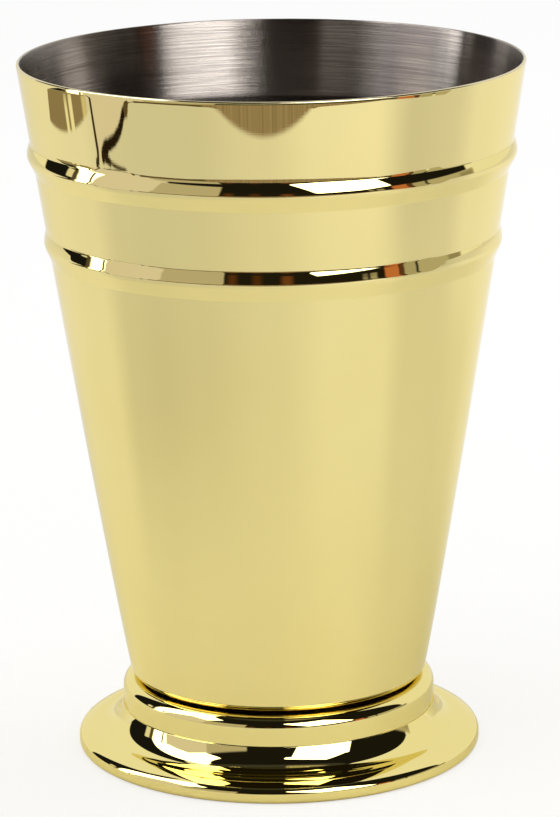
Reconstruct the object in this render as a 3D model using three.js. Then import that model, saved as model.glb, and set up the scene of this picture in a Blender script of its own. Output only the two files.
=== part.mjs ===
// A footed cup of stainless steel, gold plated outside: a drawn body, a spun foot and the welds between them.
// Millimetres, +Z up. The cup's axis is the Z axis and its foot stands on z = 0.
import * as THREE from 'three';

// Whole cup
const overallHeight = 120; // table to rim
const rimDiameter = 85.6; // outside
const turnFacets = 48; // round each turned piece

// Body: the wall keeps its rim taper and its heel taper over the two reaches, and bends gently between them
const wallThickness = 0.6;
const heelDiameter = 51.3; // outside, at the lower end of the wall
const heelBend = 1.3; // inside radius between wall and floor
const rimTaper = 0.15; // inward run for each millimetre down
const heelTaper = 0.198;
const rimReach = 40;
const heelReach = 15;

// Rolled beads: two flanks that would meet at a peak, rounded into a crest; the lower bead is rolled less deep
const beadHeight = 5.05; // top crease to bottom crease
const topCrease = 2.5; // radius of the crease above a bead
const bottomCrease = 0.5;
const upperBeadDrop = 13.3; // rim to the bead's top crease
const upperPeakDrop = 2.2; // top crease to the peak
const upperPeakRise = 1.07; // peak out of the wall
const upperCrest = 2.3; // radius of the crest
const lowerBeadDrop = 28.35;
const lowerPeakDrop = 2.5;
const lowerPeakRise = 0.86;
const lowerCrest = 2.7;

// Foot
const footSheet = 0.8; // its sheet's thickness
const seatBore = 30; // diameter of the hole in the flat seat that carries the body
const collarStep = 1.35; // how far the collar stands out from the heel
const collarBend = 1.2; // inside radius between seat and collar
const collarHeight = 5.05; // seat down to the crease above the skirt
const creaseBend = 0.4;
const skirtHeight = 7.45; // table to crease
const skirtLean = 25; // degrees from upright, below the crease
const skirtSweep = 4; // radius of the hollow sweep from skirt to brim
const skirtSpread = 7.85; // how far the foot's edge stands out from the collar
const brimFall = 0.09; // drop of the brim for each millimetre outward
const droopWidth = 2; // edge in to where the brim's border starts to droop
const droopFall = 0.53; // drop of the border for each millimetre outward
const droopBend = 6.2; // inside radius between brim and border
const edgeBend = 0.55; // inside radius where the border turns down
const edgeLand = 0.65; // upright band between the edge's two bends
const hemBend = 0.2; // inside radius where the edge turns in under the foot
const hemWidth = 3.4; // edge to the hem's free end

// Spot welds between seat and floor
const weldCount = 4;
const weldDiameter = 4;
const weldHeight = 0.3; // the gap that they hold between seat and floor

// Points along a curve or an arc
const wallSteps = 3;
const crestSteps = 6;
const bendSteps = 4;
const creaseSteps = 3;
const sweepSteps = 6;
const weldFacets = 20;
const sameSpot = 1e-4; // points closer than this are one

const rimRadius = rimDiameter / 2;
const heelRadius = heelDiameter / 2;
const collarRadius = heelRadius + collarStep;
const footRadius = collarRadius + skirtSpread;
const boreRadius = seatBore / 2;
const seatHeight = skirtHeight + collarHeight;
const floorHeight = seatHeight + weldHeight; // table to the underside of the body's floor

const goldPlate = { color: 0xddcc7f, roughness: 0.12, metalness: 1 };
const weldSteel = { color: 0x8d8a84, roughness: 0.5, metalness: 1 };

function point(radius, height) {
  return new THREE.Vector2(radius, height);
}

// Evenly spaced numbers from low to high, without the last one.
function spread(low, high, steps) {
  return Array.from({ length: steps }, (_, i) => low + ((high - low) * i) / steps);
}

// A line of corners on the outer face of a sheet that lies to its right, with every bend rounded.
// Each bend's radius is that of its inner side, so a right turn is rounded one thickness wider outside.
function bentFace(corners, thickness) {
  const face = [corners[0].at];
  for (let i = 1; i < corners.length - 1; i++) {
    const { at, bend, steps } = corners[i];
    const into = at.clone().sub(corners[i - 1].at).normalize();
    const out = corners[i + 1].at.clone().sub(at).normalize();
    const turn = Math.atan2(into.cross(out), into.dot(out));
    const side = Math.sign(turn);
    const radius = turn < 0 ? bend + thickness : bend;
    const start = at.clone().addScaledVector(into, -radius * Math.tan(Math.abs(turn) / 2));
    const toCentre = point(-into.y, into.x).multiplyScalar(side * radius);
    const centre = start.clone().add(toCentre);
    for (let k = 0; k <= steps; k++) {
      const next = start.clone().rotateAround(centre, (turn * k) / steps);
      if (next.distanceTo(face.at(-1)) > sameSpot) face.push(next); // two bends may meet
    }
  }
  face.push(corners.at(-1).at);
  return face;
}

// The other face of a sheet, one thickness to the right of the way along its outer face.
function innerFace(face, thickness) {
  return face.map((at, i) => {
    const before = face[Math.max(i - 1, 0)];
    const after = face[Math.min(i + 1, face.length - 1)];
    const into = i > 0 ? at.clone().sub(before).normalize() : after.clone().sub(at).normalize();
    const out = i < face.length - 1 ? after.clone().sub(at).normalize() : into;
    const along = into.clone().add(out).normalize();
    const right = point(along.y, -along.x);
    return at.clone().addScaledVector(right, thickness / right.dot(point(into.y, -into.x)));
  });
}

// A section turned about the Z axis; it runs clockwise, seen with the axis at its left.
function turned(name, section, finish) {
  const geometry = new THREE.LatheGeometry(section.reverse(), turnFacets);
  geometry.rotateX(Math.PI / 2);
  const mesh = new THREE.Mesh(geometry, new THREE.MeshStandardMaterial(finish));
  mesh.name = name;
  return mesh;
}

function cupBody() {
  const heelRound = heelBend + wallThickness;
  const heelSlope = Math.atan(heelTaper);
  const wallFoot = point(heelRadius, floorHeight + heelRound * (1 - Math.sin(heelSlope)));
  const rim = point(rimRadius, overallHeight);
  const wall = new THREE.CubicBezierCurve(
    rim,
    rim.clone().add(point(-rimTaper, -1).multiplyScalar(rimReach)),
    wallFoot.clone().add(point(heelTaper, 1).multiplyScalar(heelReach)),
    wallFoot,
  );

  // Radius of the plain wall at a height, by halving the stretch of the curve that holds it.
  function wallRadius(height) {
    let upper = 0;
    let lower = 1;
    for (let i = 0; i < 40; i++) {
      const middle = (upper + lower) / 2;
      if (wall.getPoint(middle).y > height) upper = middle;
      else lower = middle;
    }
    return wall.getPoint(lower).x;
  }

  const face = [];
  let height = overallHeight;

  // The wall down to a bead and the bead itself. The bead's relief tells how far it stands out of the wall,
  // against the height below its top crease.
  function rollBead(drop, peakDrop, peakRise, crest) {
    const relief = bentFace(
      [
        { at: point(0, topCrease) },
        { at: point(0, 0), bend: topCrease, steps: creaseSteps },
        { at: point(peakRise, -peakDrop), bend: crest, steps: crestSteps },
        { at: point(0, -beadHeight), bend: bottomCrease, steps: creaseSteps },
        { at: point(0, -beadHeight - bottomCrease) },
      ],
      0,
    );
    const top = overallHeight - drop;
    face.push(...spread(height, top + topCrease, wallSteps).map((z) => point(wallRadius(z), z)));
    face.push(...relief.map((at) => point(wallRadius(top + at.y) + at.x, top + at.y)));
    height = face.pop().y;
  }

  rollBead(upperBeadDrop, upperPeakDrop, upperPeakRise, upperCrest);
  rollBead(lowerBeadDrop, lowerPeakDrop, lowerPeakRise, lowerCrest);
  face.push(...spread(height, wallFoot.y, 2 * wallSteps).map((z) => point(wallRadius(z), z)));
  const heelCentre = point(
    heelRadius - heelRound * Math.cos(heelSlope),
    floorHeight + heelRound,
  );
  for (let k = 0; k <= bendSteps; k++) {
    const angle = (-(Math.PI / 2 - heelSlope) * k) / bendSteps;
    face.push(wallFoot.clone().rotateAround(heelCentre, angle));
  }
  face.push(point(0, floorHeight));

  const inside = innerFace(face, wallThickness);
  inside[0] = point(rimRadius - wallThickness * Math.hypot(1, rimTaper), overallHeight); // level rim
  inside[inside.length - 1] = point(0, floorHeight + wallThickness);
  return turned('cup_body', [...inside.reverse(), ...face], goldPlate);
}

function foot() {
  const lean = THREE.MathUtils.degToRad(skirtLean);
  const fall = Math.atan(brimFall);
  const droop = Math.atan(droopFall);

  // Each reach runs from a bend's start to its corner; a bend is as wide as its two lines leave room for.
  const edgeReach = (edgeBend + footSheet) * Math.tan((Math.PI / 2 - droop) / 2);
  const hemReach = hemBend + footSheet;
  const crease = point(collarRadius, skirtHeight);
  const edge = point(footRadius, hemReach + edgeLand + edgeReach);
  const border = point(footRadius - droopWidth, edge.y + droopFall * droopWidth);
  const droopTurn = Math.tan((droop - fall) / 2);
  const droopReach = Math.min((droopBend + footSheet) * droopTurn, border.distanceTo(edge) - edgeReach);

  // The skirt's line below the crease meets the brim's line in from the border, and the sweep rounds that corner.
  const corner = point(0, 0);
  corner.y =
    (border.y + brimFall * (border.x - collarRadius - skirtHeight * Math.tan(lean))) /
    (1 - brimFall * Math.tan(lean));
  corner.x = collarRadius + (skirtHeight - corner.y) * Math.tan(lean);
  const sweepTurn = Math.tan((Math.PI / 2 - lean - fall) / 2);
  const brimRoom = corner.distanceTo(border) - droopReach;
  const skirtRoom = corner.distanceTo(crease) - creaseBend * Math.tan(lean / 2);
  const sweep = Math.min(skirtSweep, Math.min(brimRoom, skirtRoom) / sweepTurn);

  const face = bentFace(
    [
      { at: point(boreRadius, seatHeight) },
      { at: point(collarRadius, seatHeight), bend: collarBend, steps: bendSteps },
      { at: crease, bend: creaseBend, steps: creaseSteps },
      { at: corner, bend: sweep, steps: sweepSteps },
      { at: border, bend: droopReach / droopTurn - footSheet, steps: bendSteps },
      { at: edge, bend: edgeBend, steps: bendSteps },
      { at: point(footRadius, 0), bend: hemBend, steps: bendSteps },
      { at: point(footRadius - hemWidth, 0) },
    ],
    footSheet,
  );
  const section = [...face, ...innerFace(face, footSheet).reverse(), face[0]];
  return turned('foot', section, goldPlate);
}

// The nuggets stand on the flat of the seat, half way between its bore and its outer bend.
function spotWelds() {
  const welds = new THREE.Group();
  const seatEdge = collarRadius - collarBend - footSheet;
  const weldCircle = (boreRadius + seatEdge) / 2;
  for (let i = 0; i < weldCount; i++) {
    const angle = ((i + 0.5) * 2 * Math.PI) / weldCount;
    const geometry = new THREE.CylinderGeometry(weldDiameter / 2, weldDiameter / 2, weldHeight, weldFacets);
    geometry.rotateX(Math.PI / 2);
    const weld = new THREE.Mesh(geometry, new THREE.MeshStandardMaterial(weldSteel));
    weld.name = `spot_weld_${i + 1}`;
    weld.position.set(
      weldCircle * Math.cos(angle),
      weldCircle * Math.sin(angle),
      seatHeight + weldHeight / 2,
    );
    welds.add(weld);
  }
  return welds;
}

const cup = new THREE.Group();
cup.add(cupBody(), foot(), spotWelds());

export default cup;
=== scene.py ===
# Footed stainless steel cup, gold plated outside: its looks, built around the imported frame.
# The scene is in metres; outlines are drawn in millimetres as (radius, height) and turned about Z.
import math

import bpy
from mathutils import Matrix, Vector


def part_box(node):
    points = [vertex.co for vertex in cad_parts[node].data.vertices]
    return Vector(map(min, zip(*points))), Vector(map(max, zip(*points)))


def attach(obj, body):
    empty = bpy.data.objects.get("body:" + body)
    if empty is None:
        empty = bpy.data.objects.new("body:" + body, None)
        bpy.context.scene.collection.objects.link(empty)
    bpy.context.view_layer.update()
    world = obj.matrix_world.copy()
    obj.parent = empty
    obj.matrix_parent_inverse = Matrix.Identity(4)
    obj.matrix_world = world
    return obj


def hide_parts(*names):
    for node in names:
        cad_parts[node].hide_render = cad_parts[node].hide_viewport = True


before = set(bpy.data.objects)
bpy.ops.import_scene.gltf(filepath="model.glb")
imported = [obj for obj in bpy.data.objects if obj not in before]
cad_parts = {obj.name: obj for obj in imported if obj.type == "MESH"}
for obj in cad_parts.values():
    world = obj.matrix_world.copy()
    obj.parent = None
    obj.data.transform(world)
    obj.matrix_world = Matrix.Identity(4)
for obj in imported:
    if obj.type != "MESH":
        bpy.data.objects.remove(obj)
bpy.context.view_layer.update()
scene = bpy.context.scene
scene.view_settings.view_transform = "Standard"
mm = 0.001
samePoint = 1e-5  # outline points closer than this are one
numberSocket = "NodeSocketFloat"
print("frame:", ", ".join(sorted(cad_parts)))


# outlines

def at(radius, height):
    return Vector((radius, height))


def arc(start, centre, turn, steps):
    spoke = start - centre
    return [centre + Matrix.Rotation(turn * k / steps, 2) @ spoke for k in range(steps + 1)]


def roundedLine(corners, sheet=0.0):
    # each corner is (point, inside radius, steps); the sheet lies to the right of the way
    line = [corners[0][0]]
    for (before, *_), (corner, bend, steps), (after, *_) in zip(corners, corners[1:], corners[2:]):
        into = (corner - before).normalized()
        out = (after - corner).normalized()
        turn = math.atan2(into.x * out.y - into.y * out.x, into.dot(out))
        radius = bend + sheet if turn < 0 else bend
        start = corner - into * radius * math.tan(abs(turn) / 2)
        centre = start + Vector((-into.y, into.x)) * math.copysign(radius, turn)
        line += arc(start, centre, turn, steps)
    line.append(corners[-1][0])
    return line


def filledLine(line, longest):
    # drops repeated points and splits stretches that are longer than longest
    filled = [line[0]]
    for point in line[1:]:
        gap = (point - filled[-1]).length
        if gap < samePoint:
            continue
        start = filled[-1]
        parts = max(1, math.ceil(gap / longest))
        filled += [start.lerp(point, k / parts) for k in range(1, parts + 1)]
    return filled


def otherFace(line, sheet):
    # the sheet's other face, to the right of the way, with mitred corners
    face = []
    for i, point in enumerate(line):
        into = (point - line[i - 1]).normalized() if i > 0 else (line[1] - point).normalized()
        out = (line[i + 1] - point).normalized() if i < len(line) - 1 else into
        along = (into + out).normalized()
        right = Vector((along.y, -along.x))
        face.append(point + right * (sheet / right.dot(Vector((into.y, -into.x)))))
    return face


def turnedPiece(name, line, finishes, zoneOf, segments, closed=False):
    # turns a line of points about Z; zoneOf gives the finish of the stretch that starts at a point
    verts = []
    rings = []
    for point in line:
        if point.x < samePoint:
            rings.append([len(verts)] * segments)
            verts.append((0.0, 0.0, point.y * mm))
            continue
        rings.append(list(range(len(verts), len(verts) + segments)))
        for k in range(segments):
            angle = 2 * math.pi * k / segments
            verts.append((point.x * mm * math.cos(angle), point.x * mm * math.sin(angle), point.y * mm))
    faces = []
    zones = []
    stretches = len(line) if closed else len(line) - 1
    for i in range(stretches):
        near = rings[i]
        far = rings[(i + 1) % len(line)]
        for k in range(segments):
            n = (k + 1) % segments
            loop = [near[k], near[n], far[n], far[k]]
            faces.append(list(dict.fromkeys(loop)))
            zones.append(zoneOf(i))
    mesh = bpy.data.meshes.new(name)
    mesh.from_pydata(verts, [], faces)
    for finish in finishes:
        mesh.materials.append(finish)
    mesh.polygons.foreach_set("material_index", zones)
    mesh.shade_smooth()
    mesh.update()
    piece = bpy.data.objects.new(name, mesh)
    scene.collection.objects.link(piece)
    return piece


# shader nodes

def feed(tree, socket, value):
    # a socket takes a value, or a link from another socket
    if isinstance(value, bpy.types.NodeSocket):
        tree.links.new(value, socket)
    else:
        socket.default_value = value


def addNode(tree, kind, inputs=None, **settings):
    node = tree.nodes.new(kind)
    for key, value in settings.items():
        setattr(node, key, value)
    for key, value in (inputs or {}).items():
        feed(tree, node.inputs[key], value)
    return node


def maths(tree, operation, *values):
    return addNode(tree, "ShaderNodeMath", dict(enumerate(values)), operation=operation).outputs[0]


def vectorMaths(tree, operation, *values):
    node = addNode(tree, "ShaderNodeVectorMath", dict(enumerate(values)), operation=operation)
    return node.outputs["Value" if operation in ("LENGTH", "DOT_PRODUCT") else "Vector"]


def scaled(tree, vector, factor):
    inputs = {0: vector, "Scale": factor}
    return addNode(tree, "ShaderNodeVectorMath", inputs, operation="SCALE").outputs[0]


def mapped(tree, value, low, high, toLow=0.0, toHigh=1.0, kind="LINEAR"):
    inputs = {"Value": value, "From Min": low, "From Max": high, "To Min": toLow, "To Max": toHigh}
    return addNode(tree, "ShaderNodeMapRange", inputs, interpolation_type=kind).outputs["Result"]


def socketOf(sockets, identifier):
    return next(socket for socket in sockets if socket.identifier == identifier)


def blended(tree, factor, first, second, mode="MIX"):
    node = addNode(tree, "ShaderNodeMix", data_type="RGBA", blend_type=mode)
    for key, value in zip(("Factor_Float", "A_Color", "B_Color"), (factor, first, second)):
        feed(tree, socketOf(node.inputs, key), value)
    return socketOf(node.outputs, "Result_Color")


def newGroup(name, inputs, outputs):
    group = bpy.data.node_groups.new(name, "ShaderNodeTree")
    for label, kind, value in inputs:
        socket = group.interface.new_socket(name=label, in_out="INPUT", socket_type=kind)
        socket.default_value = value
    for label, kind in outputs:
        group.interface.new_socket(name=label, in_out="OUTPUT", socket_type=kind)
    return group, group.nodes.new("NodeGroupInput").outputs, group.nodes.new("NodeGroupOutput").inputs


def placed(tree, group, values):
    return addNode(tree, "ShaderNodeGroup", values, node_tree=group).outputs


def colour(red, green, blue):
    return (red, green, blue, 1.0)


# numbers that all finishes share
metalwork = {
    "hazeSpan": (0.3, 0.7),  # of the noise, spread over 0 to 1
    "lineSpan": (0.35, 0.65),
    "grainGloss": 0.3,  # roughness that a grain adds
    "smearTurn": 0.25,  # lays the smear across the lines
}


def roundLinesGroup():
    # lines that run round the axis, as turning, polishing and brushing leave them
    group, given, result = newGroup(
        "round lines",
        [
            ("Lines per metre", numberSocket, 8000.0),
            ("Drift", numberSocket, 3.0),
            ("Detail", numberSocket, 3.0),
        ],
        [("Line", numberSocket)],
    )
    place = addNode(group, "ShaderNodeTexCoord").outputs["Object"]
    parts = addNode(group, "ShaderNodeSeparateXYZ", {0: place}).outputs
    spoke = addNode(group, "ShaderNodeCombineXYZ", {"X": parts["X"], "Y": parts["Y"]}).outputs[0]
    radius = vectorMaths(group, "LENGTH", spoke)
    facing = vectorMaths(group, "NORMALIZE", spoke)
    around = scaled(group, facing, given["Drift"])
    turned = addNode(group, "ShaderNodeSeparateXYZ", {0: around}).outputs
    up = maths(group, "MULTIPLY", parts["Z"], given["Lines per metre"])
    out = maths(group, "MULTIPLY", radius, given["Lines per metre"])
    spot = addNode(group, "ShaderNodeCombineXYZ", {"X": turned["X"], "Y": turned["Y"], "Z": up})
    noise = addNode(
        group,
        "ShaderNodeTexNoise",
        {"Vector": spot.outputs[0], "W": out, "Scale": 1.0, "Detail": given["Detail"], "Roughness": 0.6},
        noise_dimensions="4D",
    )
    group.links.new(noise.outputs["Fac"], result["Line"])
    return group


def specksGroup():
    # sparse grains of dust and pits in the plating
    group, given, result = newGroup(
        "specks",
        [
            ("Cells per metre", numberSocket, 150.0),
            ("Size", numberSocket, 0.05),
            ("Share", numberSocket, 0.1),
        ],
        [("Mask", numberSocket)],
    )
    place = addNode(group, "ShaderNodeTexCoord").outputs["Object"]
    cells = addNode(group, "ShaderNodeTexVoronoi", {"Vector": place, "Scale": given["Cells per metre"]})
    draw = addNode(group, "ShaderNodeSeparateColor", {0: cells.outputs["Color"]}).outputs
    kept = maths(group, "LESS_THAN", draw["Red"], given["Share"])
    size = maths(group, "MULTIPLY", given["Size"], draw["Green"])
    grain = maths(group, "LESS_THAN", cells.outputs["Distance"], size)
    group.links.new(maths(group, "MULTIPLY", kept, grain), result["Mask"])
    return group


def hazeGroup():
    # broad soft patches: the plating's tone and the film that hands and cloths leave
    group, given, result = newGroup(
        "haze",
        [("Patches per metre", numberSocket, 40.0), ("Sharpness", numberSocket, 0.5)],
        [("Patch", numberSocket)],
    )
    place = addNode(group, "ShaderNodeTexCoord").outputs["Object"]
    noise = addNode(
        group,
        "ShaderNodeTexNoise",
        {
            "Vector": place,
            "Scale": given["Patches per metre"],
            "Detail": 4.0,
            "Roughness": given["Sharpness"],
        },
    )
    group.links.new(mapped(group, noise.outputs["Fac"], *metalwork["hazeSpan"]), result["Patch"])
    return group


roundLines = roundLinesGroup()
specks = specksGroup()
haze = hazeGroup()


def metal(name, look):
    # polished, satin or brushed metal; look holds its colours, gloss and lines
    material = bpy.data.materials.new(name)
    material.use_nodes = True
    tree = material.node_tree
    shader = tree.nodes["Principled BSDF"]
    lines = placed(tree, roundLines, {"Lines per metre": look["lines"], "Drift": look["drift"]})["Line"]
    patch = placed(tree, haze, {"Patches per metre": look["patches"]})["Patch"]
    grains = placed(tree, specks, {"Cells per metre": look["cells"], "Share": look["grainShare"]})["Mask"]
    tone = blended(tree, patch, colour(*look["tone"]), colour(*look["deepTone"]))
    lined = blended(tree, mapped(tree, lines, *metalwork["lineSpan"]), tone, colour(*look["lineTone"]))
    shade = blended(tree, look["lineTint"], tone, lined)
    base = blended(tree, grains, shade, colour(*look["grainTone"]))
    tree.links.new(base, shader.inputs["Base Color"])
    gloss = maths(tree, "MULTIPLY_ADD", lines, look["lineGloss"], look["roughness"])
    gloss = maths(tree, "MULTIPLY_ADD", patch, look["hazeGloss"], gloss)
    gloss = maths(tree, "MULTIPLY_ADD", grains, metalwork["grainGloss"], gloss)
    tree.links.new(gloss, shader.inputs["Roughness"])
    relief = {"Strength": look["bump"], "Distance": look["depth"], "Height": lines}
    bump = addNode(tree, "ShaderNodeBump", relief)
    tree.links.new(bump.outputs["Normal"], shader.inputs["Normal"])
    shader.inputs["Metallic"].default_value = 1.0
    shader.inputs["Specular Tint"].default_value = colour(*look["edgeTint"])  # at grazing sight
    shader.inputs["Anisotropic"].default_value = look["smear"]
    shader.inputs["Anisotropic Rotation"].default_value = metalwork["smearTurn"]
    return material


goldLook = {
    "tone": (0.84, 0.73, 0.32),
    "deepTone": (0.82, 0.70, 0.29),
    "lineTone": (0.80, 0.68, 0.27),
    "grainTone": (0.22, 0.17, 0.07),
    "edgeTint": (0.94, 0.905, 0.74),
    "lineTint": 0.15,
    "lines": 9000.0,
    "drift": 3.0,
    "patches": 30.0,
    "cells": 160.0,
    "grainShare": 0.05,
    "roughness": 0.008,
    "lineGloss": 0.004,
    "hazeGloss": 0.004,
    "bump": 0.006,
    "depth": 0.00005,
    "smear": 0.5,
}
footLook = dict(
    goldLook,
    tone=(0.83, 0.72, 0.30),
    deepTone=(0.81, 0.69, 0.27),
    roughness=0.006,
    lineGloss=0.003,
    bump=0.002,
)
satinLook = dict(
    goldLook,
    tone=(0.72, 0.59, 0.23),
    deepTone=(0.66, 0.52, 0.19),
    lineTint=0.4,
    lines=5000.0,
    roughness=0.22,
    lineGloss=0.1,
    bump=0.15,
)
rimLook = dict(
    goldLook,
    tone=(0.74, 0.66, 0.44),
    deepTone=(0.68, 0.60, 0.40),
    lineTone=(0.6, 0.52, 0.34),
    roughness=0.05,
    grainShare=0.0,
)
brushedLook = {
    "tone": (0.43, 0.39, 0.35),
    "deepTone": (0.37, 0.335, 0.30),
    "lineTone": (0.15, 0.13, 0.115),
    "grainTone": (0.8, 0.78, 0.75),
    "edgeTint": (0.95, 0.94, 0.92),
    "lineTint": 0.75,
    "lines": 8000.0,
    "drift": 3.0,
    "patches": 45.0,
    "cells": 200.0,
    "grainShare": 0.02,
    "roughness": 0.19,
    "lineGloss": 0.07,
    "hazeGloss": 0.03,
    "bump": 0.2,
    "depth": 0.00004,
    "smear": 1.0,
}
weldLook = dict(
    brushedLook,
    tone=(0.36, 0.33, 0.30),
    deepTone=(0.25, 0.19, 0.13),
    lineTone=(0.22, 0.2, 0.2),
    lines=2500.0,
    roughness=0.4,
    smear=0.2,
)
goldPolish = metal("gold_polish", goldLook)
footPolish = metal("foot_polish", footLook)
goldSatin = metal("gold_satin", satinLook)
rimGold = metal("rim_gold", rimLook)
brushedSteel = metal("brushed_steel", brushedLook)
weldSteel = metal("weld_steel", weldLook)
print("finishes made")


# cup body

bodyLow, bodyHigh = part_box("cup_body")
cupShell = {
    "wall": 0.6,
    "rimRadius": bodyHigh.x / mm,
    "rimHeight": bodyHigh.z / mm,
    "floorHeight": bodyLow.z / mm,
    "heelRadius": 25.65,
    "heelRound": 1.9,
    "rimTaper": 0.15,
    "heelTaper": 0.198,
    "rimReach": 40.0,
    "heelReach": 15.0,
    "rimEdge": 0.25,  # rounding of the edge
    "rimRoll": (0.6, 0.085, 5.0),  # height, inward run and radius of the polished roll below it
    "beads": [
        # rim to top crease, and top crease to bottom crease;
        # corners as (out of the wall, below the top crease, radius)
        {
            "drop": 13.44,
            "height": 4.9,
            "flare": (0.06, -0.5, 5.6),
            "flank": (0.50, 0.853, 10.3),
            "crest": (0.98, 2.25, 1.9),
        },
        {
            "drop": 28.44,
            "height": 4.96,
            "flare": (0.03, -0.25, 2.2),
            "flank": (0.24, 0.55, 10.0),
            "crest": (0.75, 2.25, 2.2),
        },
    ],
    "topCrease": 0.8,
    "bottomCrease": 0.5,
    "creaseSteps": 10,
    "flankSteps": 16,
    "bottomSteps": 12,
    "heelSteps": 14,
    "edgeSteps": 8,
    "rollSteps": 10,
    "reliefStep": 0.3,
    "wallStep": 2.0,
    "endStops": (0, 0.05, 0.15, 0.35, 0.8),  # points close together at both ends of a plain stretch
    "halvings": 40,  # to find a height on the wall's curve
    "segments": 160,
}


def makeCupShell(cup):
    wall = cup["wall"]
    slope = math.atan(cup["heelTaper"])
    wallFoot = at(cup["heelRadius"], cup["floorHeight"] + cup["heelRound"] * (1 - math.sin(slope)))
    rim = at(cup["rimRadius"], cup["rimHeight"])
    pull = rim + at(-cup["rimTaper"], -1) * cup["rimReach"]
    push = wallFoot + at(cup["heelTaper"], 1) * cup["heelReach"]

    def wallPoint(t):
        s = 1 - t
        return rim * s**3 + pull * 3 * s * s * t + push * 3 * s * t * t + wallFoot * t**3

    def wallRadius(height):
        upper, lower = 0.0, 1.0
        for _ in range(cup["halvings"]):
            middle = (upper + lower) / 2
            if wallPoint(middle).y > height:
                upper = middle
            else:
                lower = middle
        return wallPoint(lower).x

    def wallStretch(high, low):
        # points down the plain wall; those close to its ends keep its shading true
        near = cup["endStops"]
        inner = high - low - 2 * near[-1]
        steps = math.ceil(inner / cup["wallStep"])
        stops = [high - s for s in near]
        stops += [high - near[-1] - inner * k / steps for k in range(1, steps)]
        stops += [low + s for s in reversed(near)]
        return [at(wallRadius(z), z) for z in stops]

    rollHeight, rollIn, rollBend = cup["rimRoll"]
    face = [rim]
    height = cup["rimHeight"] - 2 * rollHeight
    for bead in cup["beads"]:
        flareOut, lead, flareBend = bead["flare"]
        flankOut, flankDown, flankBend = bead["flank"]
        crestOut, crestDown, crestBend = bead["crest"]
        relief = roundedLine(
            [
                (at(0, -2 * lead),),
                (at(0, -lead), flareBend, cup["creaseSteps"]),
                (at(flareOut, 0), cup["topCrease"], cup["creaseSteps"]),
                (at(flankOut, -flankDown), flankBend, cup["flankSteps"]),
                (at(crestOut, -crestDown), crestBend, cup["flankSteps"]),
                (at(0, -bead["height"]), cup["bottomCrease"], cup["bottomSteps"]),
                (at(0, -bead["height"] - cup["bottomCrease"] / 2),),
            ]
        )
        top = cup["rimHeight"] - bead["drop"]
        face += wallStretch(height, top - 2 * lead)
        for point in filledLine(relief, cup["reliefStep"]):
            face.append(at(wallRadius(top + point.y) + point.x, top + point.y))
        height = face[-1].y
    face += wallStretch(height, wallFoot.y)
    heelCentre = at(
        cup["heelRadius"] - cup["heelRound"] * math.cos(slope),
        cup["floorHeight"] + cup["heelRound"],
    )
    face += arc(wallFoot, heelCentre, -(math.pi / 2 - slope), cup["heelSteps"])
    face.append(at(0, cup["floorHeight"]))
    face = filledLine(face, cup["wallStep"])

    inside = otherFace(face, wall)
    inside[0] = at(cup["rimRadius"] - wall * math.hypot(1, cup["rimTaper"]), cup["rimHeight"])
    inside[-1] = at(0, cup["floorHeight"] + wall)
    edge, edgeSteps = cup["rimEdge"], cup["edgeSteps"]
    roll = at(wallRadius(rim.y - rollHeight), rim.y - rollHeight)
    lip = roundedLine(
        [
            (inside[1],),
            (inside[0], edge, edgeSteps),
            (rim - at(rollIn, 0), edge, edgeSteps),
            (roll, rollBend, cup["rollSteps"]),
            (face[1],),
        ]
    )
    line = inside[:1:-1] + lip + face[2:]
    firstLip = len(inside) + edgeSteps - 1  # the inner half of the lip keeps the inside's finish
    lastLip = firstLip + edgeSteps + 1
    underFloor = len(line) - 1 - sum(1 for p in face if p.y < cup["floorHeight"] + samePoint)
    finishes = [goldPolish, rimGold, brushedSteel, goldSatin]

    def zoneOf(i):
        if i < firstLip:
            return 2
        if i < lastLip:
            return 1
        return 3 if i >= underFloor else 0

    return turnedPiece("cup_shell", line, finishes, zoneOf, cup["segments"])


cupPiece = makeCupShell(cupShell)
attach(cupPiece, "root")
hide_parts("cup_body")
print("cup shell:", len(cupPiece.data.polygons), "faces")


# foot

_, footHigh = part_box("foot")
footShell = {
    "sheet": 0.8,
    "radius": footHigh.x / mm,
    "seatHeight": footHigh.z / mm,
    "boreRadius": 15.0,
    "collarRadius": 27.0,
    "collarBend": 1.2,
    "skirtHeight": 7.45,
    "creaseBend": 0.4,
    "ledge": 0.1,  # run of the small ledge at the collar's lower end
    "ledgeBend": 0.08,
    "skirtBow": 0.05,  # hollow of the skirt above its sweep
    "bowPlace": 0.24,  # its deepest point, as a share of the way from ledge to sweep
    "bowBend": 30.0,
    "skirtLean": 25.0,
    "skirtSweep": 4.0,
    "brimFall": 0.09,
    "droopWidth": 2.0,  # the brim's border, which droops to the edge
    "droopFall": 0.53,
    "droopBend": 6.2,
    "edgeBend": 0.55,
    "edgeLand": 0.65,
    "hemBend": 0.2,
    "hemWidth": 3.4,
    "collarSteps": 16,
    "creaseSteps": 5,
    "bowSteps": 16,
    "sweepSteps": 64,
    "droopSteps": 32,
    "edgeSteps": 18,
    "hemSteps": 12,
    "faceStep": 0.4,
    "backStep": 1.0,
    "segments": 200,
}


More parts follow.
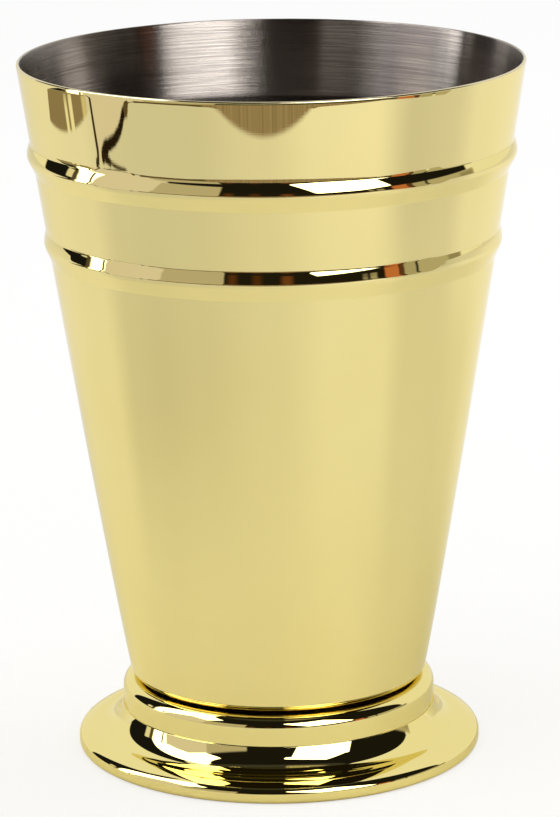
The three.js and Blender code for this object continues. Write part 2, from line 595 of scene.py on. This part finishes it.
def makeFootShell(foot):
    sheet = foot["sheet"]
    lean = math.tan(math.radians(foot["skirtLean"]))
    fall, droop = foot["brimFall"], foot["droopFall"]
    edgeReach = (foot["edgeBend"] + sheet) * math.tan((math.pi / 2 - math.atan(droop)) / 2)
    edge = at(foot["radius"], foot["hemBend"] + sheet + foot["edgeLand"] + edgeReach)
    border = edge + at(-1, droop) * foot["droopWidth"]
    collar, crease = foot["collarRadius"], foot["skirtHeight"]
    sweepHeight = (border.y + fall * (border.x - collar - crease * lean)) / (1 - fall * lean)
    sweep = at(collar + (crease - sweepHeight) * lean, sweepHeight)
    ledge = at(collar + foot["ledge"], crease)
    skirt = sweep - ledge
    bow = ledge + skirt * foot["bowPlace"] + at(skirt.y, -skirt.x).normalized() * foot["skirtBow"]
    upper = [
        (at(foot["boreRadius"], foot["seatHeight"]),),
        (at(collar, foot["seatHeight"]), foot["collarBend"], foot["collarSteps"]),
    ]
    plain = [(at(collar, crease), foot["creaseBend"], foot["creaseSteps"])]
    detail = [
        (at(collar, crease + foot["ledge"]), foot["ledgeBend"], foot["creaseSteps"]),
        (ledge, foot["ledgeBend"] - sheet, foot["creaseSteps"]),
        (bow, foot["bowBend"], foot["bowSteps"]),
    ]
    lower = [
        (sweep, foot["skirtSweep"], foot["sweepSteps"]),
        (border, foot["droopBend"], foot["droopSteps"]),
        (edge, foot["edgeBend"], foot["edgeSteps"]),
        (at(foot["radius"], 0), foot["hemBend"], foot["hemSteps"]),
        (at(foot["radius"] - foot["hemWidth"], 0),),
    ]
    # the ledge and the hollow show outside only; the back is plain
    face = filledLine(roundedLine(upper + detail + lower, sheet), foot["faceStep"])
    back = otherFace(filledLine(roundedLine(upper + plain + lower, sheet), foot["backStep"]), sheet)
    hem = next(i for i, p in enumerate(face) if p.y < samePoint)
    line = face + back[::-1]

    def zoneOf(i):
        return 0 if i < hem else 1

    finishes = [footPolish, goldSatin]
    return turnedPiece("foot_shell", line, finishes, zoneOf, foot["segments"], closed=True)


footPiece = makeFootShell(footShell)
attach(footPiece, "root")
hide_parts("foot")
print("foot shell:", len(footPiece.data.polygons), "faces")


# spot welds

weldNugget = {
    "nodes": [name for name in sorted(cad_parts) if name.startswith("spot_weld")],
    "waist": 0.12,
    "waistSteps": 8,
    "flatRing": 0.5,  # radius of the ring of points on each flat face, as a share
    "segments": 48,
}


def makeWeld(node, number, weld):
    low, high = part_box(node)
    radius = (high.x - low.x) / 2 / mm
    height = (high.z - low.z) / mm
    ring = radius * weld["flatRing"]
    waist = radius - weld["waist"]
    line = [at(0, 0), at(ring, 0), at(waist, 0)]
    line += arc(at(waist, 0), at(waist, height / 2), math.pi, weld["waistSteps"])[1:-1]
    line += [at(waist, height), at(ring, height), at(0, height)]
    piece = turnedPiece(f"weld_nugget_{number}", line, [weldSteel], lambda i: 0, weld["segments"])
    piece.data.transform(Matrix.Translation(((low.x + high.x) / 2, (low.y + high.y) / 2, low.z)))
    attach(piece, "root")
    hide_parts(node)


for number, node in enumerate(weldNugget["nodes"], 1):
    makeWeld(node, number, weldNugget)
print("welds:", len(weldNugget["nodes"]))


# camera, as the photograph was taken

cameraView = {
    "place": (0.0, -0.6647, 0.22995),
    "pitch": 14.398,  # degrees down
    "yaw": 0.0695,
    "roll": -0.6773,
    "lens": 176.51,
    "sensor": 36.0,
}


def makeCamera(view):
    data = bpy.data.cameras.new("camera")
    data.lens = view["lens"]
    data.sensor_width = view["sensor"]
    camera = bpy.data.objects.new("camera", data)
    scene.collection.objects.link(camera)
    pitch, yaw, roll = (math.radians(view[key]) for key in ("pitch", "yaw", "roll"))
    level = Vector((math.sin(yaw), math.cos(yaw), 0))
    side = Vector((math.cos(yaw), -math.sin(yaw), 0))
    ahead = level * math.cos(pitch) - Vector((0, 0, math.sin(pitch)))
    above = level * math.sin(pitch) + Vector((0, 0, math.cos(pitch)))
    right = side * math.cos(roll) + above * math.sin(roll)
    up = above * math.cos(roll) - side * math.sin(roll)
    turn = Matrix((right, up, -ahead)).transposed().to_4x4()
    camera.matrix_world = Matrix.Translation(view["place"]) @ turn
    scene.camera = camera


makeCamera(cameraView)


# floor, world and lamps

studio = {
    "floorHalf": 4.0,
    "floorTone": (0.95, 0.95, 0.945),
    "cameraGlow": 0.62,  # share of plain white in what the camera sees of the floor
    "ambient": 0.88,
    "domeRadius": 3.9,
    "domeSides": 96,
    "domeRows": 24,
    "eyeHeight": 0.1,  # the height from which the floor beyond the table is sighted
    "lamps": [
        # (name, place, size, power)
        ("key_lamp", (0.55, 0.3, 0.8), 0.8, 1.6),
        ("fill_lamp", (-0.6, -0.2, 0.9), 0.8, 1.2),
    ],
    # painted light and shade on the table that the metal mirrors, in place of the lamps' fall-off and the
    # cup's soft shadows, at three radii:
    # its tint, and its level round the cup by azimuth
    "paintedTableLight": [
        (0.05, (1.0, 0.99, 0.94), [
            (-180, 0.82), (-155, 0.82), (-110, 1.0), (-60, 0.99), (-5, 0.92), (40, 0.97),
            (75, 0.90), (125, 0.85), (180, 0.82),
        ]),
        (0.17, (1.0, 0.995, 1.0), [
            (-180, 0.88), (-163, 0.82), (-130, 0.98), (-97, 0.96), (-78, 0.78), (-60, 0.75),
            (-38, 0.78), (0, 0.87), (30, 0.99), (55, 0.98), (72, 0.84), (98, 0.84),
            (115, 0.88), (140, 0.97), (163, 0.97), (180, 0.88),
        ]),
        (0.275, (1.0, 1.0, 1.08), [
            (-180, 0.95), (-163, 0.93), (-130, 1.0), (-97, 0.94), (-78, 0.78), (-60, 0.76),
            (-38, 0.76), (-4, 0.89), (20, 1.05), (45, 1.08), (66, 0.76), (88, 0.80),
            (108, 0.97), (140, 1.03), (163, 1.04), (180, 0.95),
        ]),
    ],
}

# where the table ends, in millimetres from the axis: each cut lies to the left of all its lines
tableCuts = [
    [((-324, -15), (-324, 190)), ((-324, -15), (-280, -15)), ((-280, 190), (-324, 190))],
    [((-277, -120), (-288, -16)), ((-288, -16), (-420, -14))],
    [((-150, -288), (-209, -249))],
    [((-209, -249), (-300, -160))],
    [((75, -263.5), (-90, -255.5))],
    [((336, -50), (320, -262)), ((400, -50), (336, -50))],
]

# painted shadow: thin dark lines along the table's edges, seen only in the metal's reflection, as points in
# millimetres
paintedEdgeShadows = [
    {"way": [(-420, -10), (-346, -17), (-319, -19), (-294, -22), (-288.5, -19.5), (-288.5, -14)],
     "wide": 7.0, "tone": (0.05, 0.035, 0.02)},
    {"way": [(-286, -37), (-287.3, -45), (-286, -52)], "wide": 11.0, "tone": (0.02, 0.013, 0.008)},
    {"way": [(-286, -52), (-284.7, -58.7), (-279.2, -78.6), (-277, -92.7), (-277, -102), (-278.6, -110),
             (-277, -120)], "wide": 8.5, "tone": (0.02, 0.013, 0.008)},
    {"way": [(-277, -120), (-345, -160)], "wide": 8.0, "tone": (0.03, 0.02, 0.012)},
    {"way": [(-286, -37), (-275, -55)], "wide": 6.0, "tone": (0.03, 0.02, 0.012)},
    {"way": [(-275, -55), (-253, -90), (-190, -150)], "wide": 3.2, "tone": (0.06, 0.045, 0.025)},
    {"way": [(-277, -120), (-300, -160), (-209, -249), (-140, -294)],
     "wide": 12.0, "tone": (0.12, 0.09, 0.05)},
    {"way": [(85, -264.5), (300, -275)], "wide": 4.0, "tone": (0.25, 0.19, 0.12)},
]

# what the polished metal mirrors: a dark room in front with bright and pale panels, white behind.
# azimuth runs from the camera's side towards +X, elevation up from the table, both in degrees;
# side edges may lean and curve with the elevation,
# low and high edges may tilt about an azimuth or arch over it
mirroredRoom = [
    {"what": "ceiling", "left": -150, "right": 150, "low": 66, "high": 91, "tone": (0.05, 0.05, 0.045)},
    {"what": "ceiling strip", "left": 12, "right": 95, "low": 74, "high": 80, "soft": 2.0,
     "tone": (0.45, 0.41, 0.34)},
    {"what": "dark gap at the left", "left": -130, "right": -103, "low": -13.5, "high": 58,
     "leftCurve": -0.004, "tone": (0.01, 0.01, 0.012)},
    {"what": "dark wall", "left": -95, "right": 101, "low": -12.5, "high": 68, "rightCurve": 0.004,
     "tone": (0.012, 0.011, 0.01)},
    {"what": "white panel", "left": -101, "right": -62, "low": -15.5, "high": 66, "leftCurve": -0.0045,
     "rightCurve": 0.0075, "highArch": (-108, 0.006), "tone": (4.0, 4.0, 4.1)},
    {"what": "pale panel", "left": -91, "right": -54, "low": -90, "high": 40,
     "leftCurve": 0.0125, "rightLean": 0.12, "highTilt": (-81, -0.5), "tone": (0.80, 0.76, 0.84)},
    {"what": "panel edge", "left": -93, "right": -91.5, "low": -15.5, "high": 20, "soft": 0.4,
     "tone": (0.15, 0.12, 0.08)},
    {"what": "grey panel", "left": -57, "right": -24, "low": -90, "high": 24, "leftLean": 0.12,
     "tone": (0.55, 0.51, 0.47)},
    {"what": "dark edge below it", "left": -62, "right": -24, "low": -90, "high": -13.6,
     "tone": (0.12, 0.09, 0.05)},
    {"what": "brown front", "left": -30, "right": 56, "low": -90, "high": -12.5, "tone": (0.38, 0.30, 0.245),
     "streak": (0.29, 0.225, 0.17)},
    {"what": "dark front", "left": -24, "right": 56, "low": -12.5, "high": 14, "tone": (0.016, 0.013, 0.01)},
    {"what": "brown post 1", "left": -22, "right": -18, "low": -10, "high": 12, "soft": 1.8,
     "tone": (0.1, 0.037, 0.013)},
    {"what": "brown post 2", "left": -10, "right": -6, "low": -10, "high": 12, "soft": 1.8,
     "tone": (0.08, 0.03, 0.01)},
    {"what": "brown post 3", "left": 4, "right": 9, "low": -10, "high": 10, "soft": 1.8,
     "tone": (0.16, 0.06, 0.02)},
    {"what": "grey bar 1", "left": 44, "right": 46.5, "low": -9, "high": 4, "tone": (0.3, 0.27, 0.21)},
    {"what": "grey bar 2", "left": 48, "right": 51.5, "low": -9, "high": 4, "tone": (0.42, 0.38, 0.3)},
    {"what": "bright panel", "left": 24.5, "right": 60, "low": 7.5, "high": 40,
     "leftLean": -0.4, "rightLean": -0.35, "leftCurve": -0.005, "lowTilt": (20, 0.13), "highTilt": (3, 0.3),
     "tone": (6.0, 6.0, 6.1)},
    {"what": "dark wall above", "left": -50, "right": 4, "low": 31, "high": 68, "tone": (0.012, 0.011, 0.01)},
    {"what": "orange panel", "left": 56, "right": 64, "low": -90, "high": 10.5, "tone": (0.6, 0.2, 0.085)},
    {"what": "brown gap", "left": 64, "right": 67, "low": -90, "high": 10.5, "tone": (0.12, 0.05, 0.025)},
    {"what": "olive panel 1", "left": 67, "right": 74, "low": -90, "high": 10, "tone": (0.46, 0.43, 0.35)},
    {"what": "olive panel 2", "left": 75.5, "right": 106, "low": -90, "high": 10, "tone": (0.52, 0.49, 0.41)},
    {"what": "olive panel 3", "left": 96, "right": 105, "low": -90, "high": 8, "soft": 1.5,
     "tone": (0.34, 0.31, 0.23)},
    {"what": "low brown panel", "left": -121, "right": -90, "low": -90, "high": -13.5,
     "tone": (0.31, 0.25, 0.19)},
    {"what": "white strip 1", "left": -105.5, "right": -103.5, "low": -90, "high": -15.5, "soft": 0.5,
     "tone": (1.0, 0.97, 0.9)},
    {"what": "white strip 2", "left": -102, "right": -99.5, "low": -90, "high": -15.5, "soft": 0.5,
     "tone": (1.0, 0.97, 0.9)},
    {"what": "pale strip", "left": -92.5, "right": -90, "low": -90, "high": -15.5, "tone": (0.75, 0.68, 0.5)},
    {"what": "grey post", "left": -110, "right": -105, "low": 3, "high": 13, "tone": (0.9, 0.87, 0.8)},
    {"what": "dark post", "left": -105, "right": -102, "low": -13.5, "high": 13, "tone": (0.1, 0.08, 0.06)},
]

mirrorDetail = {
    "patchSoft": 0.8,  # degrees to each side of a patch's edge
    "streakScale": 0.9,
    "streakDetail": 4.0,
    "streakSpan": (0.4, 0.62),
    "cutSoft": 1.5,  # millimetres to each side of the table's edge
    "lineSoft": 0.6,
}


def roomGroup(room):
    group, given, result = newGroup(
        "mirrored room",
        [("Azimuth", numberSocket, 0.0), ("Elevation", numberSocket, 0.0)],
        [("Tone", "NodeSocketColor")],
    )
    azimuth, elevation = given["Azimuth"], given["Elevation"]
    rise = maths(group, "MAXIMUM", elevation, 0.0)
    grain = {"W": azimuth, "Scale": mirrorDetail["streakScale"], "Detail": mirrorDetail["streakDetail"]}
    noise = addNode(group, "ShaderNodeTexNoise", grain, noise_dimensions="1D")
    streaks = mapped(group, noise.outputs["Fac"], *mirrorDetail["streakSpan"])

    def sideEdge(patch, key):
        curve, lean = patch.get(key + "Curve", 0.0), patch.get(key + "Lean", 0.0)
        slope = maths(group, "MULTIPLY_ADD", rise, curve, lean)
        return maths(group, "MULTIPLY_ADD", rise, slope, patch[key])

    def levelEdge(patch, key):
        about, tilt = patch.get(key + "Tilt", (0, 0.0))
        middle, arch = patch.get(key + "Arch", (0, 0.0))
        off = maths(group, "SUBTRACT", azimuth, middle)
        level = maths(group, "MULTIPLY_ADD", maths(group, "SUBTRACT", azimuth, about), tilt, patch[key])
        return maths(group, "MULTIPLY_ADD", maths(group, "MULTIPLY", off, off), -arch, level)

    def past(value, edge, soft):
        return mapped(group, maths(group, "SUBTRACT", value, edge), -soft, soft, kind="SMOOTHSTEP")

    tone = colour(1, 1, 1)
    for patch in room:
        soft = patch.get("soft", mirrorDetail["patchSoft"])
        left = past(azimuth, sideEdge(patch, "left"), soft)
        right = past(azimuth, sideEdge(patch, "right"), soft)
        low = past(elevation, levelEdge(patch, "low"), soft)
        high = past(elevation, levelEdge(patch, "high"), soft)
        across = maths(group, "MAXIMUM", maths(group, "SUBTRACT", left, right), 0.0)
        upright = maths(group, "MAXIMUM", maths(group, "SUBTRACT", low, high), 0.0)
        own = colour(*patch["tone"])
        if "streak" in patch:
            own = blended(group, streaks, own, colour(*patch["streak"]))
        tone = blended(group, maths(group, "MULTIPLY", across, upright), tone, own)
    group.links.new(tone, result["Tone"])
    return group


def tableGroup(cuts, lines):
    # where a spot of the floor lies beyond the table, and the tone and cover of the painted shadow lines
    # along its edges
    group, given, result = newGroup(
        "table outline",
        [("Place", "NodeSocketVector", (0, 0, 0))],
        [("Beyond", numberSocket), ("Line", numberSocket), ("Painted shadow tone", "NodeSocketColor")],
    )
    place = scaled(group, given["Place"], 1 / mm)
    cutSoft, lineSoft = mirrorDetail["cutSoft"], mirrorDetail["lineSoft"]
    beyond = 0.0
    for cut in cuts:
        inside = 1.0
        for start, end in cut:
            way = (at(*end) - at(*start)).normalized()
            left = at(-way.y, way.x)
            reach = vectorMaths(group, "DOT_PRODUCT", place, (*left, 0))
            depth = maths(group, "SUBTRACT", reach, left.dot(at(*start)))
            inside = maths(group, "MULTIPLY", inside, mapped(group, depth, -cutSoft, cutSoft))
        beyond = maths(group, "MAXIMUM", beyond, inside)
    cover = 0.0
    tone = colour(0, 0, 0)
    for line in lines:
        half = line["wide"] / 2
        for start, end in zip(line["way"], line["way"][1:]):
            stretch = at(*end) - at(*start)
            spoke = vectorMaths(group, "SUBTRACT", place, (*start, 0))
            share = vectorMaths(group, "DOT_PRODUCT", spoke, (*(stretch / stretch.length_squared), 0))
            held = mapped(group, share, 0.0, 1.0)
            nearest = scaled(group, (*stretch, 0), held)
            gap = vectorMaths(group, "LENGTH", vectorMaths(group, "SUBTRACT", spoke, nearest))
            mask = mapped(group, gap, half + lineSoft, half - lineSoft)
            tone = blended(group, mask, tone, colour(*line["tone"]))
            cover = maths(group, "MAXIMUM", cover, mask)
    group.links.new(beyond, result["Beyond"])
    group.links.new(cover, result["Line"])
    group.links.new(tone, result["Painted shadow tone"])
    return group


def sighted(tree, lift):
    # azimuth and elevation of a point of the surface, its distance from the axis and its place;
    # lift is added to its height first
    place = addNode(tree, "ShaderNodeTexCoord").outputs["Object"]
    parts = addNode(tree, "ShaderNodeSeparateXYZ", {0: place}).outputs
    ahead = maths(tree, "MULTIPLY", parts["Y"], -1.0)
    spoke = addNode(tree, "ShaderNodeCombineXYZ", {"X": parts["X"], "Y": parts["Y"]}).outputs[0]
    height = maths(tree, "ADD", parts["Z"], lift)
    radius = vectorMaths(tree, "LENGTH", spoke)
    azimuth = maths(tree, "DEGREES", maths(tree, "ARCTAN2", parts["X"], ahead))
    elevation = maths(tree, "DEGREES", maths(tree, "ARCTAN2", height, radius))
    return {"Azimuth": azimuth, "Elevation": elevation}, radius, place


def stagePiece(name, verts, faces, material, mirrorOnly=False):
    mesh = bpy.data.meshes.new(name)
    mesh.from_pydata(verts, [], faces)
    mesh.materials.append(material)
    piece = bpy.data.objects.new(name, mesh)
    scene.collection.objects.link(piece)
    if mirrorOnly:
        piece.visible_camera = False
        piece.visible_diffuse = False
        piece.visible_shadow = False


def bareMaterial(name):
    material = bpy.data.materials.new(name)
    material.use_nodes = True
    tree = material.node_tree
    tree.nodes.clear()
    return material, tree


def putOut(tree, shader):
    output = addNode(tree, "ShaderNodeOutputMaterial")
    tree.links.new(shader.outputs[0], output.inputs["Surface"])


def lightRing(tree, azimuth, tint, levels):
    # one ring of painted light and shade on the table, as a ramp over the full turn
    ramp = addNode(tree, "ShaderNodeValToRGB", {"Fac": mapped(tree, azimuth, -180.0, 180.0)})
    stops = ramp.color_ramp
    stops.interpolation = "EASE"
    while len(stops.elements) < len(levels):
        stops.elements.new(0.5)
    for stop, (turn, level) in zip(stops.elements, levels):
        stop.position = (turn + 180) / 360
        stop.color = colour(*(level * share for share in tint))
    return ramp.outputs["Color"]


def paintedTableShading(tree, stage, sight, radius):
    # painted light and shade on the table: each ring runs into the next one out
    (near, tint, levels), *others = stage["paintedTableLight"]
    light = lightRing(tree, sight["Azimuth"], tint, levels)
    for far, tint, levels in others:
        spread = mapped(tree, radius, near, far, kind="SMOOTHSTEP")
        light = blended(tree, spread, light, lightRing(tree, sight["Azimuth"], tint, levels))
        near = far
    return light


def makeFloor(stage, room, table):
    material, tree = bareMaterial("floor_paper")
    rays = addNode(tree, "ShaderNodeLightPath").outputs
    sight, radius, place = sighted(tree, -stage["eyeHeight"])
    tone = colour(*stage["floorTone"])
    # painted light and shade: for glossy rays the table's tone is darkened and lifted round the cup by
    # azimuth
    paintedShadeTone = blended(tree, 1.0, tone, paintedTableShading(tree, stage, sight, radius), "MULTIPLY")
    seen = blended(tree, rays["Is Glossy Ray"], tone, paintedShadeTone)
    paper = addNode(tree, "ShaderNodeBsdfDiffuse", {"Color": seen})
    white = addNode(tree, "ShaderNodeEmission", {"Color": colour(1, 1, 1), "Strength": 1.0})
    direct = maths(tree, "MAXIMUM", rays["Is Camera Ray"], rays["Is Transmission Ray"])
    share = maths(tree, "MULTIPLY", direct, stage["cameraGlow"])
    lit = addNode(tree, "ShaderNodeMixShader", {0: share, 1: paper.outputs[0], 2: white.outputs[0]})
    # glossy rays see painted shadow lines along the table's edges, and the mirrored room beyond the table
    marks = placed(tree, table, {"Place": place})
    farTone = blended(tree, marks["Line"], placed(tree, room, sight)["Tone"], marks["Painted shadow tone"])
    far = addNode(tree, "ShaderNodeEmission", {"Color": farTone, "Strength": 1.0})
    cover = maths(tree, "MAXIMUM", marks["Beyond"], marks["Line"])
    mirrored = maths(tree, "MULTIPLY", cover, rays["Is Glossy Ray"])
    putOut(tree, addNode(tree, "ShaderNodeMixShader", {0: mirrored, 1: lit.outputs[0], 2: far.outputs[0]}))
    half = stage["floorHalf"]
    corners = [(-half, -half, 0), (half, -half, 0), (half, half, 0), (-half, half, 0)]
    stagePiece("floor", corners, [(0, 1, 2, 3)], material)


def makeWorld(stage):
    world = bpy.data.worlds.new("studio")
    scene.world = world
    world.use_nodes = True
    tree = world.node_tree
    tree.nodes.clear()
    dim = addNode(tree, "ShaderNodeBackground", {"Color": colour(1, 1, 1), "Strength": stage["ambient"]})
    white = addNode(tree, "ShaderNodeBackground", {"Color": colour(1, 1, 1), "Strength": 1.0})
    rays = addNode(tree, "ShaderNodeLightPath").outputs
    seen = maths(tree, "MAXIMUM", rays["Is Camera Ray"], rays["Is Transmission Ray"])
    seen = maths(tree, "MAXIMUM", seen, rays["Is Glossy Ray"])
    mix = addNode(tree, "ShaderNodeMixShader", {0: seen, 1: dim.outputs[0], 2: white.outputs[0]})
    output = addNode(tree, "ShaderNodeOutputWorld")
    tree.links.new(mix.outputs[0], output.inputs["Surface"])


def makeLamp(name, place, size, power):
    data = bpy.data.lights.new(name, "AREA")
    data.shape = "DISK"
    data.size = size
    data.energy = power
    lamp = bpy.data.objects.new(name, data)
    scene.collection.objects.link(lamp)
    lamp.location = place
    lamp.rotation_euler = (-Vector(place)).to_track_quat("-Z", "Y").to_euler()
    lamp.visible_glossy = False
    lamp.visible_camera = False


def makeRoom(stage, room):
    material, tree = bareMaterial("room")
    sight, *_ = sighted(tree, 0.0)
    tone = placed(tree, room, sight)["Tone"]
    putOut(tree, addNode(tree, "ShaderNodeEmission", {"Color": tone, "Strength": 1.0}))
    radius = stage["domeRadius"]
    across, rows = stage["domeSides"], stage["domeRows"]
    verts = []
    for row in range(rows):
        lift = math.radians(90 * row / rows)
        for k in range(across):
            turn = 2 * math.pi * k / across
            flat = radius * math.cos(lift)
            verts.append((flat * math.cos(turn), flat * math.sin(turn), radius * math.sin(lift)))
    verts.append((0, 0, radius))
    faces = []
    for row in range(rows - 1):
        for k in range(across):
            n = (k + 1) % across
            low, high = row * across, (row + 1) * across
            faces.append((low + k, low + n, high + n, high + k))
    last = (rows - 1) * across
    faces += [(last + k, last + (k + 1) % across, len(verts) - 1) for k in range(across)]
    stagePiece("room", verts, faces, material, mirrorOnly=True)


room = roomGroup(mirroredRoom)
makeFloor(studio, room, tableGroup(tableCuts, paintedEdgeShadows))
makeWorld(studio)
makeRoom(studio, room)
for lamp in studio["lamps"]:
    makeLamp(*lamp)
print("studio made")
